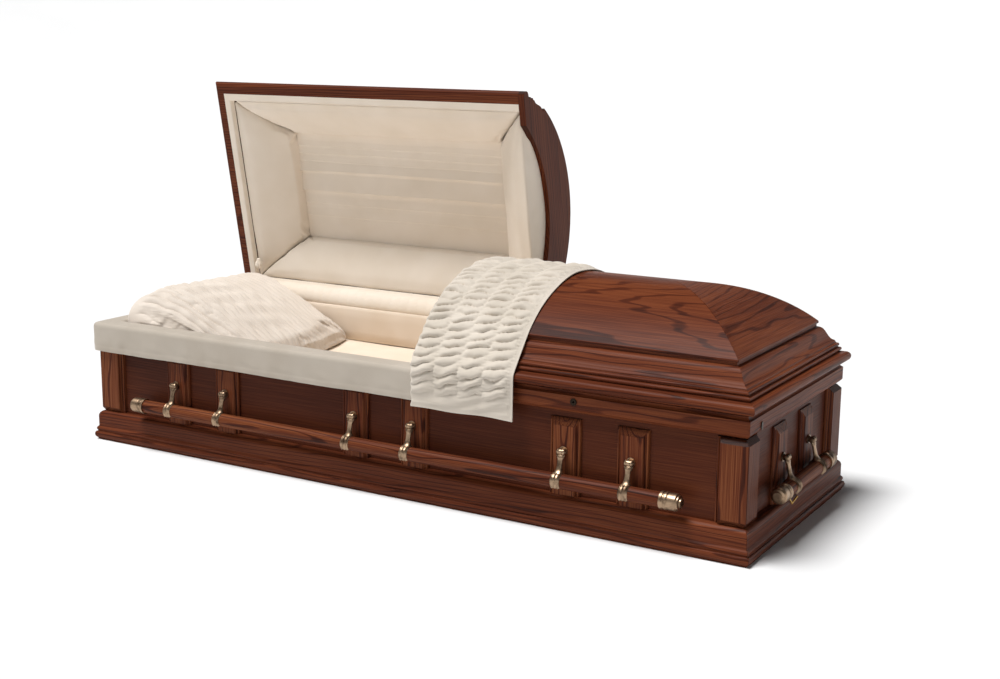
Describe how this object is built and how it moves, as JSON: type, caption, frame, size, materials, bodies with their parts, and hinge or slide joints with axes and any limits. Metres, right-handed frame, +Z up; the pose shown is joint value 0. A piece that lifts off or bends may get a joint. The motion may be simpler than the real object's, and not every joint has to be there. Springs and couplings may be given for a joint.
{
  "type": "half-couch wooden casket",
  "caption": "Half-couch wooden casket with its head lid open, padded lining, pillow, throw and swing-bar handles.",
  "frame": {"origin": "centre of the underside, on the floor", "axes": "+X towards the foot end, +Y towards the hinge side, +Z up"},
  "size_m": [2.1772, 0.9186, 1.0661],
  "materials": {
    "stained_oak": "red-brown stained oak under satin lacquer",
    "plain_board": "plain stained board",
    "antique_bronze": "antique bronze plating, darkened in the hollows",
    "dark_metal": "dark bronze finish",
    "grey_metal": "dull grey cap",
    "brass": "bright brass wire",
    "crepe_ivory": "ivory crepe over padding",
    "crepe_blush": "ivory crepe in warm shade",
    "pleated_ivory": "finely pleated ivory crepe",
    "shirred_ivory": "shirred ivory crepe with smooth hems"
  },
  "bodies": {
    "case": {"bottom_board": "plain_board", "front_wall": "stained_oak", "back_wall": "stained_oak", "foot_wall": "stained_oak", "head_wall": "stained_oak", "front_base": "stained_oak", "back_base": "stained_oak", "foot_base": "stained_oak", "head_base": "stained_oak", "front_rail": "stained_oak", "back_rail": "stained_oak", "foot_rail": "stained_oak", "head_rail": "stained_oak", "front_head_post": "stained_oak", "front_foot_post": "stained_oak", "back_head_post": "stained_oak", "back_foot_post": "stained_oak", "front_pilasters": "stained_oak", "back_pilasters": "stained_oak", "foot_pilasters": "stained_oak", "head_pilasters": "stained_oak", "handle_lugs": "antique_bronze", "lock": "dark_metal", "rail_cap": "grey_metal", "case_hinge_leaves": "antique_bronze", "bed": "crepe_blush", "pillow": "pleated_ivory", "side_lining": "crepe_blush", "hinge_gusset": "crepe_ivory", "apron": "crepe_ivory"},
    "head_lid": {"head_lid_rim": "stained_oak", "head_lid_crown": "stained_oak", "head_lid_end": "stained_oak", "head_lid_header": "stained_oak", "head_lid_leaves": "antique_bronze", "front_roll": "crepe_ivory", "back_roll": "crepe_ivory", "end_roll": "crepe_ivory", "cut_roll": "crepe_ivory", "cap_panel": "crepe_ivory"},
    "foot_lid": {"foot_lid_rim": "stained_oak", "foot_lid_crown": "stained_oak", "foot_lid_end": "stained_oak", "foot_lid_header": "stained_oak", "foot_lid_leaves": "antique_bronze", "foot_lid_lining": "crepe_ivory", "throw": "shirred_ivory"},
    "front_handle": {"front_arms": "antique_bronze", "front_bar": "stained_oak", "front_tips": "antique_bronze"},
    "back_handle": {"back_arms": "antique_bronze", "back_bar": "stained_oak", "back_tips": "antique_bronze"},
    "foot_handle": {"foot_arms": "antique_bronze", "foot_bar": "stained_oak", "foot_tips": "antique_bronze", "casket_key": "brass"},
    "head_handle": {"head_arms": "antique_bronze", "head_bar": "stained_oak", "head_tips": "antique_bronze"}
  },
  "joints": [
    {"name": "head_lid_hinge", "type": "hinge", "parent": "case", "child": "head_lid", "pos_m": [-0.459, 0.348, 0.3635], "axis": [1, 0, 0], "range_deg": [0, 79.5], "deforming": ["pillow", "hinge_gusset"]},
    {"name": "foot_lid_hinge", "type": "hinge", "parent": "case", "child": "foot_lid", "pos_m": [0.57, 0.348, 0.3635], "axis": [1, 0, 0], "range_deg": [-79.5, 0]},
    {"name": "front_handle_swing", "type": "hinge", "parent": "case", "child": "front_handle", "pos_m": [0, -0.355, 0.205], "axis": [-1, 0, 0], "range_deg": [0, 80]},
    {"name": "back_handle_swing", "type": "hinge", "parent": "case", "child": "back_handle", "pos_m": [0, 0.355, 0.205], "axis": [1, 0, 0], "range_deg": [0, 80]},
    {"name": "foot_handle_swing", "type": "hinge", "parent": "case", "child": "foot_handle", "pos_m": [1.049, 0, 0.205], "axis": [0, -1, 0], "range_deg": [0, 80]},
    {"name": "head_handle_swing", "type": "hinge", "parent": "case", "child": "head_handle", "pos_m": [-1.049, 0, 0.205], "axis": [0, 1, 0], "range_deg": [0, 80]}
  ]
}
